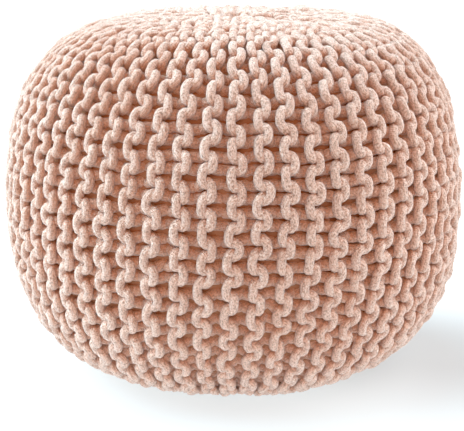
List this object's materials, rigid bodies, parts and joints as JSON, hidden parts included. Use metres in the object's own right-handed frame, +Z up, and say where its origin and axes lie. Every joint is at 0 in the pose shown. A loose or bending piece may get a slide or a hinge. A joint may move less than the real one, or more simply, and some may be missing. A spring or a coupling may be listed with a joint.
{
  "type": "round knitted pouf",
  "caption": "Round filled pouf in chunky garter-stitch knitting, with upright ridges running from crown to base, a domed top and a flattened base.",
  "frame": {"origin": "centre of the pouf's flat base, on the floor", "axes": "+Z up along the pouf's round axis, through its crown; +X and +Y lie level in the base, and no side of the round pouf is its front"},
  "size_m": [0.4996, 0.4996, 0.385],
  "materials": {
    "cotton_cord": "matt knitted cotton cord in pale peach pink, lightly flecked"
  },
  "bodies": {
    "root": {"knitted_pouf": "cotton_cord"}
  },
  "joints": []
}
